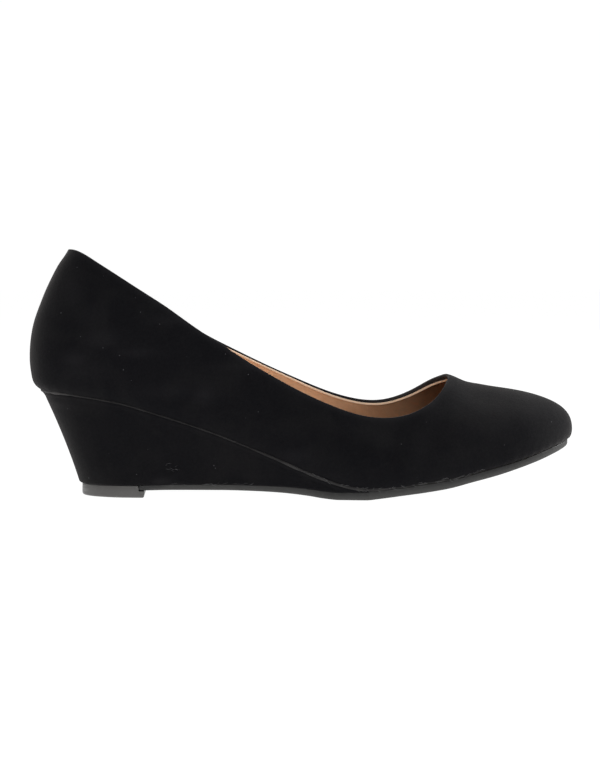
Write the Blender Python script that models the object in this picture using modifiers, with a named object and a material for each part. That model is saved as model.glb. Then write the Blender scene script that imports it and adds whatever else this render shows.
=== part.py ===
"""Wedge pump, right shoe: a slip-on court shoe on a covered wedge.

Sizes are in millimetres in the shoe's own plan, x from the back of the heel towards the toe,
y from the heel's middle line towards the medial side, z up from the floor. `place` turns them
into metres about the middle of the shoe's footprint.
"""
from collections import namedtuple

import bmesh
import bpy
import numpy as np

MM = 0.001

# Driving dimensions
WALL = 1.8                  # upper with its lining
GAP = 0.3                   # between pieces that touch
INSOLE_THICKNESS = 2.5
INSOLE_EDGE = 0.8           # soft upper edge of the insole
INSOLE_INSET = 2.0          # from the feather line to the insole's side
TIP_HEIGHT = 5.3
TIP_FRONT = 51.2            # breast line of the heel tip
TIP_EDGE = 0.9              # rounding of the tip's corners
TIP_INSET = 0.4
TIP_BACK_INSET = 0.4        # the tip's back edge stands this much further in
TIP_STEP = 48.7             # from here to its front the tip is lower and carries the end of the outsole
TIP_STEP_HEIGHT = 2.9
SOLE_START = 49.1
SOLE_EDGE_TAPER = 0.6       # the sole's side leans in by this much down to the floor
BALL_FLAT = (136.0, 148.0)  # stretch of the sole that lies on the floor
WEDGE_END = 149.0           # the wedge runs out under the ball
WEDGE_BACK_SHIFT = 16.4     # the wedge's back edge slopes forward by this much
WEDGE_SHIFT_REACH = 54.0    # and the slope fades out this far from the back
WEDGE_BOW = 0.22            # hollow of the sloping back
WEDGE_NARROWING = 0.085     # loss of width from seat to base at the heel
WEDGE_HEIGHT = 40.9
WEDGE_PROUD = 0.4           # the wedge's cover stands out past the feather line
TUCK = 0.2                  # how low the wall's swelling turns in towards the feather line
LIP_REACH = 9.0             # width of the raised lip along the throat

# Mesh density
AROUND = 88                 # wall lines round the upper
LOW_ROWS = 3                # rows from the feather line to the widest line
HIGH_ROWS = 9               # rows from the widest line to the topline
RING_SAMPLES = 1600
WEDGE_STATIONS = 30
WEDGE_ROWS = 4
SOLE_STATIONS = 22
INSOLE_STATIONS = 44
TIP_STATIONS = 16
END_TRIM = 0.15             # the lofts end on a narrow facet this far inside their tips
STEP_RISER = 0.05           # run of the heel tip's step

# One row for each section, from the back of the heel to the toe. A section joins the feather
# line (foot) to the topline (top) on both sides. Swell is how far the wall stands out past the
# feather line, at swell_up above it. Lean is the wall's angle at the topline in degrees, and
# the pulls shape the curve between. Lip raises the throat's edge.
Section = namedtuple("Section", "foot_x foot_lateral foot_medial swell_lateral swell_medial swell_up "
                                "top_x top_lateral top_medial rise_lateral rise_medial "
                                "lean low_pull top_pull lip")
SECTIONS = [Section(*row) for row in (
    (5.9, 0.0, 0.0, 5.9, 5.9, 15.0, 17.6, 0.0, 0.0, 109.2, 109.2, 59, 0.40, 0.36, 0.0),
    (9.0, -12.2, 12.2, 5.3, 5.3, 15.0, 20.8, -10.6, 10.6, 108.2, 108.0, 61, 0.40, 0.36, 0.0),
    (18.5, -20.4, 20.0, 4.4, 4.6, 15.0, 29.5, -18.2, 18.0, 104.1, 103.0, 66, 0.38, 0.36, 0.0),
    (37.0, -24.6, 23.8, 3.4, 4.4, 15.0, 44.5, -23.2, 22.8, 94.8, 93.0, 72, 0.36, 0.36, 0.0),
    (62.0, -25.4, 23.0, 2.8, 5.0, 15.0, 63.5, -25.6, 25.0, 82.1, 80.1, 76, 0.36, 0.36, 0.0),
    (89.0, -26.8, 21.6, 2.4, 5.4, 14.0, 85.0, -26.8, 25.6, 67.6, 67.0, 78, 0.38, 0.36, 0.0),
    (115.0, -31.6, 25.2, 2.2, 4.4, 11.0, 107.5, -28.2, 26.4, 53.9, 55.8, 76, 0.40, 0.36, 0.0),
    (139.0, -37.0, 32.6, 2.0, 2.8, 8.5, 129.0, -30.0, 28.0, 42.9, 46.4, 72, 0.42, 0.38, 0.0),
    (159.0, -38.7, 37.0, 1.9, 2.0, 7.0, 147.5, -30.5, 29.0, 36.7, 40.9, 68, 0.44, 0.40, 0.0),
    (177.5, -36.8, 37.3, 1.8, 1.9, 6.4, 161.5, -29.0, 28.4, 36.0, 41.0, 62, 0.46, 0.42, 0.0),
    (195.5, -32.0, 34.8, 1.8, 1.8, 6.0, 172.5, -25.3, 25.4, 39.2, 45.6, 50, 0.50, 0.46, 0.0),
    (212.5, -26.4, 29.8, 1.8, 1.8, 5.6, 180.5, -18.6, 19.6, 44.0, 50.0, 36, 0.56, 0.52, 0.4),
    (227.5, -17.6, 22.6, 1.9, 1.8, 5.0, 185.0, -10.0, 12.6, 48.1, 51.6, 22, 0.60, 0.60, 1.0),
    (240.5, 3.5, 3.5, 2.0, 2.0, 4.6, 186.8, 3.6, 3.6, 51.6, 51.6, 10, 0.62, 0.64, 1.5),
)]

# Side profiles as rows of x and height
SEAT = ((5.9, 46.5), (17.4, 45.3), (38.7, 41.9), (57.8, 36.4), (80.4, 28.9), (105.4, 19.0), (127.7, 9.7),
        (139.2, 5.9), (149.2, 4.5), (162.2, 5.5), (174.4, 7.2), (185.5, 8.8), (198.1, 11.7), (216.6, 16.4),
        (240.8, 24.4))
UNDERSIDE = ((48.0, 3.2), (64.0, 3.5), (86.0, 3.5), (101.0, 3.2), (111.6, 2.7), (121.9, 1.7), (131.0, 0.4),
             (BALL_FLAT[0], 0.0), (BALL_FLAT[1], 0.0), (153.5, 0.6), (163.5, 1.9), (173.9, 3.2), (184.5, 4.8),
             (195.2, 7.3), (206.1, 9.9), (217.2, 13.1), (226.0, 15.9), (240.8, 21.4))
SHANK_THICKNESS = ((48.0, 2.1), (100.0, 2.4), (136.0, 3.2), (150.0, 3.3))

# Colours and finishes: linear RGB, roughness
FINISHES = {
    "upper": ((0.012, 0.012, 0.013), 0.95),
    "insole": ((0.42, 0.25, 0.15), 0.65),
    "wedge": ((0.011, 0.011, 0.012), 0.95),
    "outsole": ((0.030, 0.030, 0.030), 0.45),
    "heel_tip": ((0.060, 0.059, 0.058), 0.50),
}


def profile(table, x):
    """Height of a side profile at x, by monotone cubics through its rows."""
    px, pz = np.array(table).T
    h = np.diff(px)
    s = np.diff(pz) / h
    slope = np.concatenate([s[:1], np.zeros(len(s) - 1), s[-1:]])
    same_way = s[1:] * s[:-1] > 0
    w1 = 2 * h[1:] + h[:-1]
    w2 = h[1:] + 2 * h[:-1]
    before = np.where(same_way, s[:-1], 1.0)
    after = np.where(same_way, s[1:], 1.0)
    slope[1:-1] = np.where(same_way, (w1 + w2) / (w1 / before + w2 / after), 0.0)
    x = np.clip(np.asarray(x, float), px[0], px[-1])
    i = np.clip(np.searchsorted(px, x) - 1, 0, len(h) - 1)
    t = (x - px[i]) / h[i]
    rise = h[i] * t * (1 - t) * (slope[i] * (1 - t) - slope[i + 1] * t)
    return pz[i] * (1 + 2 * t) * (1 - t) ** 2 + pz[i + 1] * t ** 2 * (3 - 2 * t) + rise


def wall_rows():
    """The section table as one row for each wall line: back, lateral side, toe, medial side."""
    rows = [(s.foot_x, s.foot_lateral, s.swell_lateral, s.swell_up, s.top_x, s.top_lateral, s.rise_lateral,
             s.lean, s.low_pull, s.top_pull, s.lip) for s in SECTIONS]
    rows += [(s.foot_x, s.foot_medial, s.swell_medial, s.swell_up, s.top_x, s.top_medial, s.rise_medial,
              s.lean, s.low_pull, s.top_pull, s.lip) for s in SECTIONS[-2:0:-1]]
    return np.array(rows)


def closed_spline(rows, steps, count):
    """Periodic cubic spline through rows spaced by steps, read at count even places."""
    n = len(rows)
    ahead = np.roll(rows, -1, 0)
    after = np.roll(steps, 1)
    system = np.zeros((n, n))
    for i in range(n):
        system[i, i - 1] += after[i]
        system[i, i] += 2 * (after[i] + steps[i])
        system[i, (i + 1) % n] += steps[i]
    slopes = (ahead - rows) / steps[:, None]
    bend = np.linalg.solve(system, 6 * (slopes - np.roll(slopes, 1, 0)))
    knots = np.concatenate([[0.0], np.cumsum(steps)])
    at = np.linspace(0.0, knots[-1], count, endpoint=False)
    i = np.searchsorted(knots, at, side="right") - 1
    j = (i + 1) % n
    h = steps[i][:, None]
    u = (at - knots[i])[:, None]
    v = h - u
    return ((bend[i] * v ** 3 + bend[j] * u ** 3) / (6 * h)
            + (rows[i] / h - bend[i] * h / 6) * v + (rows[j] / h - bend[j] * h / 6) * u)


def wall_lines(count):
    """Count wall lines read from the section table, evenly spaced round the shoe."""
    rows = wall_rows()
    places = rows[:, [0, 1, 4, 5, 6]]
    steps = np.linalg.norm(np.roll(places, -1, 0) - places, axis=1)
    return closed_spline(rows, steps, count)


def outward(ring):
    """Unit normals in plan of a closed ring, pointing away from its inside."""
    along = np.roll(ring, -1, 0) - np.roll(ring, 1, 0)
    normal = np.stack([along[:, 1], -along[:, 0]], axis=-1)
    normal /= np.linalg.norm(normal, axis=1)[:, None]
    following = np.roll(ring, -1, 0)
    area = np.sum(ring[:, 0] * following[:, 1] - following[:, 0] * ring[:, 1])
    return normal * np.sign(area)


def upper_surface(count, low_rows, high_rows):
    """Outer face of the upper as rows of rings, from the feather line up to the topline."""
    lines = wall_lines(count)
    swell, swell_up, lean = lines[:, 2:3], lines[:, 3:4], np.radians(lines[:, 7:8])
    low_pull, top_pull, lip = lines[:, 8:9], lines[:, 9:10], lines[:, 10]
    up = np.array([0.0, 0.0, 1.0])
    foot = np.column_stack([lines[:, :2], profile(SEAT, lines[:, 0])])
    widest = foot + np.column_stack([outward(foot[:, :2]) * swell, swell_up])
    top = lines[:, 4:7]
    heading = np.column_stack([-outward(top[:, :2]) * np.cos(lean), np.sin(lean)])
    turn = widest - up * (1 - TUCK) * swell_up
    rows = [(1 - w) ** 2 * foot + 2 * w * (1 - w) * turn + w ** 2 * widest
            for w in np.linspace(0, 1, low_rows + 1)]
    reach = np.linalg.norm(top - widest, axis=1)[:, None]
    lower = widest + up * low_pull * (top[:, 2:3] - widest[:, 2:3])
    higher = top - heading * top_pull * reach
    rows += [(1 - w) ** 3 * widest + 3 * w * (1 - w) ** 2 * lower
             + 3 * w ** 2 * (1 - w) * higher + w ** 3 * top
             for w in np.linspace(0, 1, high_rows + 1)[1:]]
    surface = np.array(rows)
    near = np.clip(1 - np.linalg.norm(surface - surface[-1], axis=2) / LIP_REACH, 0, 1)
    surface[low_rows + 1:, :, 2] += (lip * near ** 2 * (3 - 2 * near))[low_rows + 1:]
    return surface


def footprint_middle():
    """Middle of the shoe's footprint, which is the model's origin in plan."""
    surface = upper_surface(AROUND, LOW_ROWS, HIGH_ROWS).reshape(-1, 3)
    middle = (surface.min(axis=0) + surface.max(axis=0)) / 2
    return np.array([middle[0], middle[1], 0.0])


MIDDLE = footprint_middle()


def place(point):
    """A point of the shoe's plan in metres about the origin."""
    return tuple((np.asarray(point, float) - MIDDLE) * MM)


def foot_ring(inset):
    """Plan outline of the feather line, moved inwards by inset."""
    ring = wall_lines(RING_SAMPLES)[:, :2]
    return ring - outward(ring) * inset


def sole_top(x):
    """Top of the tip and outsole: flat on the tip, then the sole's thickness, then up to the upper."""
    x = np.asarray(x, float)
    waist = profile(UNDERSIDE, x) + profile(SHANK_THICKNESS, x)
    under_wedge = np.where(x < SOLE_START, TIP_HEIGHT, waist)
    return np.where(x <= WEDGE_END + GAP, under_wedge, profile(SEAT, x) - GAP)


def base_point(x, y, depth):
    """Point of the wedge's side below the feather point (x, y), depth 0 at the seat and 1 at the base."""
    fade = 1 - np.clip((x - SECTIONS[0].foot_x) / WEDGE_SHIFT_REACH, 0, 1) ** 2
    shift = WEDGE_BACK_SHIFT * fade ** 2 * depth * (1 + WEDGE_BOW * (1 - depth))
    height = (profile(SEAT, x) - sole_top(x)) / WEDGE_HEIGHT
    return x + shift, y * (1 - WEDGE_NARROWING * np.clip(height, 0, 1) * depth)


def base_ring(inset):
    """Plan outline of the wedge's base and the outsole, moved inwards by inset."""
    ring = foot_ring(0.0)
    x, y = base_point(ring[:, 0], ring[:, 1], 1.0)
    ring = np.column_stack([x, y])
    return ring - outward(ring) * inset


def sides(ring, x):
    """Lateral and medial edge of a plan outline at x."""
    back, toe = np.argmin(ring[:, 0]), np.argmax(ring[:, 0])
    turned = np.roll(ring, -back, axis=0)
    toe = (toe - back) % len(ring)
    lateral = turned[:toe + 1]
    medial = np.vstack([turned[toe:], turned[:1]])[::-1]
    return np.interp(x, lateral[:, 0], lateral[:, 1]), np.interp(x, medial[:, 0], medial[:, 1])


def end_spaced(start, end, count):
    """Places from start to end that crowd towards both ends."""
    return start + (end - start) * (1 - np.cos(np.linspace(0, np.pi, count))) / 2


def crowded_start(start, end, count):
    """Places from start to end that crowd towards the start."""
    return start + (end - start) * (1 - np.cos(np.linspace(0, np.pi / 2, count)))


def crowded_end(start, end, count):
    """Places from start to end that crowd towards the end."""
    return start + (end - start) * np.sin(np.linspace(0, np.pi / 2, count))


def finish(name):
    """Material of a piece."""
    colour, roughness = FINISHES[name]
    material = bpy.data.materials.new(name)
    material.use_nodes = True
    shader = material.node_tree.nodes["Principled BSDF"]
    shader.inputs["Base Color"].default_value = (*colour, 1.0)
    shader.inputs["Roughness"].default_value = roughness
    shader.inputs["Metallic"].default_value = 0.0
    return material


def add_piece(name, mesh_builder, collection):
    """One named object from a bmesh."""
    mesh = bpy.data.meshes.new(name)
    mesh_builder.to_mesh(mesh)
    mesh_builder.free()
    mesh.shade_smooth()
    mesh.set_sharp_from_angle(angle=np.radians(40))
    piece = bpy.data.objects.new(name, mesh)
    piece.data.materials.append(finish(name))
    collection.objects.link(piece)
    return piece


def loft(stations):
    """Closed body through stations, rings of as many points each, capped at both ends."""
    body = bmesh.new()
    rings = [[body.verts.new(place(point)) for point in ring] for ring in stations]
    for ring, following in zip(rings, rings[1:]):
        for i in range(len(ring)):
            j = (i + 1) % len(ring)
            body.faces.new((ring[i], ring[j], following[j], following[i]))
    body.faces.new(rings[0])
    body.faces.new(rings[-1])
    bmesh.ops.recalc_face_normals(body, faces=body.faces)
    return body


def make_upper(collection):
    """Upper: an open shell between the feather line and the topline, thickened inwards."""
    surface = upper_surface(AROUND, LOW_ROWS, HIGH_ROWS)
    shell = bmesh.new()
    rings = [[shell.verts.new(place(point)) for point in ring] for ring in surface]
    for ring, higher in zip(rings, rings[1:]):
        for i in range(AROUND):
            j = (i + 1) % AROUND
            shell.faces.new((ring[i], ring[j], higher[j], higher[i]))
    shell.normal_update()
    piece = add_piece("upper", shell, collection)
    solidify = piece.modifiers.new("wall", "SOLIDIFY")
    solidify.thickness = WALL * MM
    solidify.offset = -1.0
    solidify.use_even_offset = True
    return piece


def make_insole(collection):
    """Insole with its sock: lies on the wedge and outsole, inside the upper's wall."""
    ring = foot_ring(INSOLE_INSET)
    places = end_spaced(ring[:, 0].min() + END_TRIM, ring[:, 0].max() - END_TRIM, INSOLE_STATIONS)
    stations = []
    for x, lateral, medial in zip(places, *sides(ring, places)):
        low = profile(SEAT, x)
        high = low + INSOLE_THICKNESS
        edge = min(INSOLE_EDGE, (medial - lateral) / 4)
        stations.append(((x, lateral, low), (x, lateral, high - INSOLE_EDGE), (x, lateral + edge, high),
                         (x, medial - edge, high), (x, medial, high - INSOLE_EDGE), (x, medial, low)))
    return add_piece("insole", loft(stations), collection)


def make_wedge(collection):
    """Covered wedge: from the heel's sloping back down to nothing under the ball."""
    ring = foot_ring(-WEDGE_PROUD)
    places = crowded_start(ring[:, 0].min() + END_TRIM, WEDGE_END, WEDGE_STATIONS)
    stations = []
    for x, lateral, medial in zip(places, *sides(ring, places)):
        high = profile(SEAT, x) - GAP
        walls = []
        for y in (lateral, medial):
            wall = []
            for depth in np.linspace(0, 1, WEDGE_ROWS + 1):
                side_x, side_y = base_point(x, y, depth)
                low = sole_top(side_x) + GAP
                wall.append((side_x, side_y, high + (low - high) * depth))
            walls.append(wall)
        stations.append(walls[0] + walls[1][::-1])
    return add_piece("wedge", loft(stations), collection)


def make_outsole(collection):
    """Outsole: thin under the wedge, thicker at the forefoot, with its arch and toe spring."""
    ring = base_ring(0.0)
    rear = np.linspace(SOLE_START, BALL_FLAT[0], SOLE_STATIONS)
    front = crowded_end(WEDGE_END + 2 * GAP, ring[:, 0].max() - END_TRIM, SOLE_STATIONS)
    places = np.concatenate([rear, [BALL_FLAT[1], WEDGE_END + GAP], front])
    stations = []
    for x, lateral, medial in zip(places, *sides(ring, places)):
        low = profile(UNDERSIDE, x)
        high = sole_top(x)
        taper = min(SOLE_EDGE_TAPER, (medial - lateral) / 4)
        stations.append(((x, lateral, high), (x, lateral + taper, low),
                         (x, medial - taper, low), (x, medial, high)))
    return add_piece("outsole", loft(stations), collection)


def tip_ring():
    """Plan outline of the heel tip: the wedge's base, further in at the back."""
    ring = base_ring(TIP_INSET)
    back = ring[:, 0].min()
    share = np.clip((TIP_FRONT - ring[:, 0]) / (TIP_FRONT - back), 0, 1)
    return np.column_stack([ring[:, 0] + TIP_BACK_INSET * share, ring[:, 1]])


def make_heel_tip(collection):
    """Heel tip: a D-shaped plate under the wedge's heel end, stepped at its front for the outsole."""
    ring = tip_ring()
    places = crowded_start(ring[:, 0].min() + END_TRIM, TIP_STEP, TIP_STATIONS)
    places = np.concatenate([places, [TIP_STEP + STEP_RISER, TIP_FRONT]])
    stations = []
    for x, lateral, medial in zip(places, *sides(ring, places)):
        high = TIP_HEIGHT if x <= TIP_STEP else TIP_STEP_HEIGHT
        stations.append(((x, lateral, high), (x, lateral, 0.0), (x, medial, 0.0), (x, medial, high)))
    piece = add_piece("heel_tip", loft(stations), collection)
    bevel = piece.modifiers.new("edge", "BEVEL")
    bevel.width = TIP_EDGE * MM
    bevel.segments = 2
    bevel.limit_method = "ANGLE"
    bevel.angle_limit = np.radians(50)
    return piece


def main():
    """Build the shoe in its own collection."""
    for item in list(bpy.data.objects):
        bpy.data.objects.remove(item)
    collection = bpy.data.collections.new("wedge_pump")
    bpy.context.scene.collection.children.link(collection)
    make_upper(collection)
    make_insole(collection)
    make_wedge(collection)
    make_outsole(collection)
    make_heel_tip(collection)


main()
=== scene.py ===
"""Wedge pump, right shoe: the looks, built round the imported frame.

Shapes are worked out in millimetres in the shoe's own plan, as in the part: x from the back of
the heel towards the toe, y towards the medial side, z up from the floor. `place` turns them into
metres about the middle of the footprint.
"""
from collections import namedtuple

import bmesh
import bpy
import numpy as np
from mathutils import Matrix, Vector


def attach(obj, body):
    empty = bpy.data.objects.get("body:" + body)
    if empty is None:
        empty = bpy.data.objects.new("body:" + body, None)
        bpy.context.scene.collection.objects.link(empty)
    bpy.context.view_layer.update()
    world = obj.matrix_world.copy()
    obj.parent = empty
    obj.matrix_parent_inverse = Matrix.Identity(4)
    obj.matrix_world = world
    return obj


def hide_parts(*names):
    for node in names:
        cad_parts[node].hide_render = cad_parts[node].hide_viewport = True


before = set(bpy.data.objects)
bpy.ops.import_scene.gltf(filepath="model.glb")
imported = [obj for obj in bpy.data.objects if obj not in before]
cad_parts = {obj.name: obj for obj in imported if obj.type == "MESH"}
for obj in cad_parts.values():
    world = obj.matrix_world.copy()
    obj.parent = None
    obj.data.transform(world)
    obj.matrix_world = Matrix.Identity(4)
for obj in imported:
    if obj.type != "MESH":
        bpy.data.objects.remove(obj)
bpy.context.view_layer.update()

MM = 0.001

# Sizes shared with the part
WALL = 1.8
INSOLE_THICKNESS = 2.5
TIP_HEIGHT = 5.3
TIP_FRONT = 51.2
TIP_INSET = 0.4
TIP_BACK_INSET = 0.4
TIP_STEP = 48.7
TIP_STEP_HEIGHT = 2.9
SOLE_START = 49.1
SOLE_EDGE_ROUND = 1.1       # how far the rounded lower edge of the sole leads in
GAP = 0.3
BALL_FLAT = (136.0, 148.0)
WEDGE_END = 149.0
WEDGE_BACK_SHIFT = 16.4
WEDGE_SHIFT_REACH = 54.0
WEDGE_BOW = 0.22
WEDGE_NARROWING = 0.085
WEDGE_HEIGHT = 40.9
WEDGE_PROUD = 0.4
TUCK = 0.2
LIP_REACH = 9.0
RING_SAMPLES = 1600
MIDDLE_GRID = (88, 3, 9)

Section = namedtuple("Section", "foot_x foot_lateral foot_medial swell_lateral swell_medial swell_up "
                                "top_x top_lateral top_medial rise_lateral rise_medial "
                                "lean low_pull top_pull lip")
SECTIONS = [Section(*row) for row in (
    (5.9, 0.0, 0.0, 5.9, 5.9, 15.0, 17.6, 0.0, 0.0, 109.2, 109.2, 59, 0.40, 0.36, 0.0),
    (9.0, -12.2, 12.2, 5.3, 5.3, 15.0, 20.8, -10.6, 10.6, 108.2, 108.0, 61, 0.40, 0.36, 0.0),
    (18.5, -20.4, 20.0, 4.4, 4.6, 15.0, 29.5, -18.2, 18.0, 104.1, 103.0, 66, 0.38, 0.36, 0.0),
    (37.0, -24.6, 23.8, 3.4, 4.4, 15.0, 44.5, -23.2, 22.8, 94.8, 93.0, 72, 0.36, 0.36, 0.0),
    (62.0, -25.4, 23.0, 2.8, 5.0, 15.0, 63.5, -25.6, 25.0, 82.1, 80.1, 76, 0.36, 0.36, 0.0),
    (89.0, -26.8, 21.6, 2.4, 5.4, 14.0, 85.0, -26.8, 25.6, 67.6, 67.0, 78, 0.38, 0.36, 0.0),
    (115.0, -31.6, 25.2, 2.2, 4.4, 11.0, 107.5, -28.2, 26.4, 53.9, 55.8, 76, 0.40, 0.36, 0.0),
    (139.0, -37.0, 32.6, 2.0, 2.8, 8.5, 129.0, -30.0, 28.0, 42.9, 46.4, 72, 0.42, 0.38, 0.0),
    (159.0, -38.7, 37.0, 1.9, 2.0, 7.0, 147.5, -30.5, 29.0, 36.7, 40.9, 68, 0.44, 0.40, 0.0),
    (177.5, -36.8, 37.3, 1.8, 1.9, 6.4, 161.5, -29.0, 28.4, 36.0, 41.0, 62, 0.46, 0.42, 0.0),
    (195.5, -32.0, 34.8, 1.8, 1.8, 6.0, 172.5, -25.3, 25.4, 39.2, 45.6, 50, 0.50, 0.46, 0.0),
    (212.5, -26.4, 29.8, 1.8, 1.8, 5.6, 180.5, -18.6, 19.6, 44.0, 50.0, 36, 0.56, 0.52, 0.4),
    (227.5, -17.6, 22.6, 1.9, 1.8, 5.0, 185.0, -10.0, 12.6, 48.1, 51.6, 22, 0.60, 0.60, 1.0),
    (240.5, 3.5, 3.5, 2.0, 2.0, 4.6, 186.8, 3.6, 3.6, 51.6, 51.6, 10, 0.62, 0.64, 1.5),
)]
SEAT = ((5.9, 46.5), (17.4, 45.3), (38.7, 41.9), (57.8, 36.4), (80.4, 28.9), (105.4, 19.0), (127.7, 9.7),
        (139.2, 5.9), (149.2, 4.5), (162.2, 5.5), (174.4, 7.2), (185.5, 8.8), (198.1, 11.7), (216.6, 16.4),
        (240.8, 24.4))
UNDERSIDE = ((48.0, 3.2), (64.0, 3.5), (86.0, 3.5), (101.0, 3.2), (111.6, 2.7), (121.9, 1.7), (131.0, 0.4),
             (BALL_FLAT[0], 0.0), (BALL_FLAT[1], 0.0), (153.5, 0.6), (163.5, 1.9), (173.9, 3.2), (184.5, 4.8),
             (195.2, 7.3), (206.1, 9.9), (217.2, 13.1), (226.0, 15.9), (240.8, 21.4))
SHANK_THICKNESS = ((48.0, 2.1), (100.0, 2.4), (136.0, 3.2), (150.0, 3.3))

# Details of the looks
AROUND = 448                # wall lines round the upper
DENSE_ROWS = (12, 72)       # rows of the surface that the pieces are read from
OUTER_ROWS = 54             # rows of the cover's outer face
EDGE_HALF = 0.68            # half the folded edge's thickness
EDGE_STEPS = 8
COVER = 0.9                 # thickness of the suede under the lining
# Black margin inside the folded edge, by x of the topline
MARGIN = ((5.0, 0.25), (62.0, 0.3), (80.0, 0.6), (92.0, 0.45), (106.0, 0.25), (128.0, 0.4), (147.0, 0.7),
          (160.0, 0.9), (167.0, 1.05), (174.0, 1.3), (179.5, 1.7), (183.0, 2.0), (186.8, 2.8))
SPARE = 2.0                 # suede that runs on under the lining
COVER_LOW = 0.6             # where the cover's inner face starts, above the feather line
SHEET_GAP = 0.02            # between faces that are cemented together
LINING_LOW = 1.0            # where the lining starts, above the feather line
LINING_ROWS = 34
LINING_EDGE = 0.42          # rounding of the lining's cut edge
SOCK_GAP = 0.1              # between the sock's edge and the lining
SOCK_TUCK = 0.8             # how far the pad's lower edge leads in
SOCK_ROUND = 0.9            # round of the pad's upper edge
WEDGE_TOP_GAP = 0.06        # left above the wedge's cover
WEDGE_LOW_GAP = 0.08        # and below it
WELT_RADIUS = 0.30
WELT_HEEL = 0.40            # extra radius at the back of the heel
WELT_BALL = 0.30            # and where the wedge runs out
WELT_PROUD = 0.42           # its middle stands out past the feather line
WELT_FRONT = 200.0          # where it ends, on both sides
WELT_SIDES = 10
FIBRE_RADIUS = 0.07
FIBRE_SIDES = 4
FIBRE_STEPS = 5             # rings along a fibre
FIBRE_SEED = 11
SOLE_OVERLAP = 0.12         # how far the sole reaches into the gap above it
SOLE_ROUND_SHARE = 0.42     # height of its rounded lower edge, as a share of the edge
TOP_ROUND = 0.30            # round of the upper edge of the sole and the tip
TIP_ROUND = 0.9             # round of the tip's lower edge
TREAD_DEPTH = 0.45
TREAD_PITCH = 2.6
TREAD_CURVE = 0.012         # how the ribs bend towards the sides
TREAD_SPAN = (106.0, 226.0)
TREAD_BORDER = 4.0          # plain border beside the ribs
SIDE_FADE = 8.0             # width of the middle where one side's relief fades out
FLOOR_HALF = 6.0            # metres
FLOOR_CUTS = 24
FLOOR_HEIGHT = -0.0002      # metres


def profile(table, x):
    """Height of a side profile at x, by monotone cubics through its rows."""
    px, pz = np.array(table).T
    h = np.diff(px)
    s = np.diff(pz) / h
    slope = np.concatenate([s[:1], np.zeros(len(s) - 1), s[-1:]])
    same_way = s[1:] * s[:-1] > 0
    w1 = 2 * h[1:] + h[:-1]
    w2 = h[1:] + 2 * h[:-1]
    before = np.where(same_way, s[:-1], 1.0)
    after = np.where(same_way, s[1:], 1.0)
    slope[1:-1] = np.where(same_way, (w1 + w2) / (w1 / before + w2 / after), 0.0)
    x = np.clip(np.asarray(x, float), px[0], px[-1])
    i = np.clip(np.searchsorted(px, x) - 1, 0, len(h) - 1)
    t = (x - px[i]) / h[i]
    rise = h[i] * t * (1 - t) * (slope[i] * (1 - t) - slope[i + 1] * t)
    return pz[i] * (1 + 2 * t) * (1 - t) ** 2 + pz[i + 1] * t ** 2 * (3 - 2 * t) + rise


def wall_rows():
    """The section table as one row for each wall line: back, lateral side, toe, medial side."""
    rows = [(s.foot_x, s.foot_lateral, s.swell_lateral, s.swell_up, s.top_x, s.top_lateral, s.rise_lateral,
             s.lean, s.low_pull, s.top_pull, s.lip) for s in SECTIONS]
    rows += [(s.foot_x, s.foot_medial, s.swell_medial, s.swell_up, s.top_x, s.top_medial, s.rise_medial,
              s.lean, s.low_pull, s.top_pull, s.lip) for s in SECTIONS[-2:0:-1]]
    return np.array(rows)


def closed_spline(rows, steps, count):
    """Periodic cubic spline through rows spaced by steps, read at count even places."""
    n = len(rows)
    ahead = np.roll(rows, -1, 0)
    after = np.roll(steps, 1)
    system = np.zeros((n, n))
    for i in range(n):
        system[i, i - 1] += after[i]
        system[i, i] += 2 * (after[i] + steps[i])
        system[i, (i + 1) % n] += steps[i]
    slopes = (ahead - rows) / steps[:, None]
    bend = np.linalg.solve(system, 6 * (slopes - np.roll(slopes, 1, 0)))
    knots = np.concatenate([[0.0], np.cumsum(steps)])
    at = np.linspace(0.0, knots[-1], count, endpoint=False)
    i = np.searchsorted(knots, at, side="right") - 1
    j = (i + 1) % n
    h = steps[i][:, None]
    u = (at - knots[i])[:, None]
    v = h - u
    return ((bend[i] * v ** 3 + bend[j] * u ** 3) / (6 * h)
            + (rows[i] / h - bend[i] * h / 6) * v + (rows[j] / h - bend[j] * h / 6) * u)


def wall_lines(count):
    """Count wall lines read from the section table, evenly spaced round the shoe."""
    rows = wall_rows()
    places = rows[:, [0, 1, 4, 5, 6]]
    steps = np.linalg.norm(np.roll(places, -1, 0) - places, axis=1)
    return closed_spline(rows, steps, count)


def outward(ring):
    """Unit normals in plan of a closed ring, pointing away from its inside."""
    along = np.roll(ring, -1, 0) - np.roll(ring, 1, 0)
    normal = np.stack([along[:, 1], -along[:, 0]], axis=-1)
    normal /= np.linalg.norm(normal, axis=1)[:, None]
    following = np.roll(ring, -1, 0)
    area = np.sum(ring[:, 0] * following[:, 1] - following[:, 0] * ring[:, 1])
    return normal * np.sign(area)


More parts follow.
